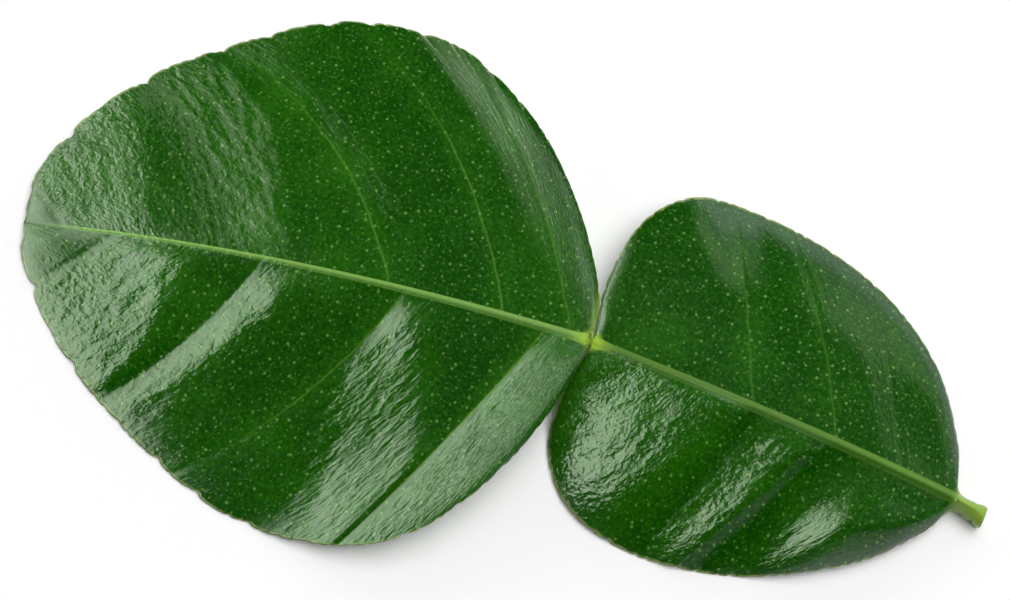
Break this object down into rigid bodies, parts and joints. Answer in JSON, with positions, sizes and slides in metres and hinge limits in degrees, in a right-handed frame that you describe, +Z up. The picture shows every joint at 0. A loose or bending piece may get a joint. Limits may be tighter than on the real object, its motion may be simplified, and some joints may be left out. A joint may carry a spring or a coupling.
{
  "type": "kaffir lime leaf",
  "caption": "Glossy citrus leaf: a rounded leaflet with a scalloped margin on a broadly winged petiole, lying glossy side up.",
  "frame": {"origin": "on the surface that the leaf lies on, under the middle of its outline seen from above", "axes": "+X along the leaf from the leaflet's tip to the cut stalk, +Z up through the glossy side"},
  "size_m": [0.1112, 0.059, 0.008],
  "materials": {
    "leaflet_blade": "glossy waxy deep green leaf with pale oil glands and veins, matt pale green underside",
    "petiole_wings": "glossy waxy deep green leaf with a yellow-green midrib and stalk, matt pale green underside"
  },
  "bodies": {
    "root": {"terminal_leaflet": "leaflet_blade", "winged_petiole": "petiole_wings"}
  },
  "joints": []
}
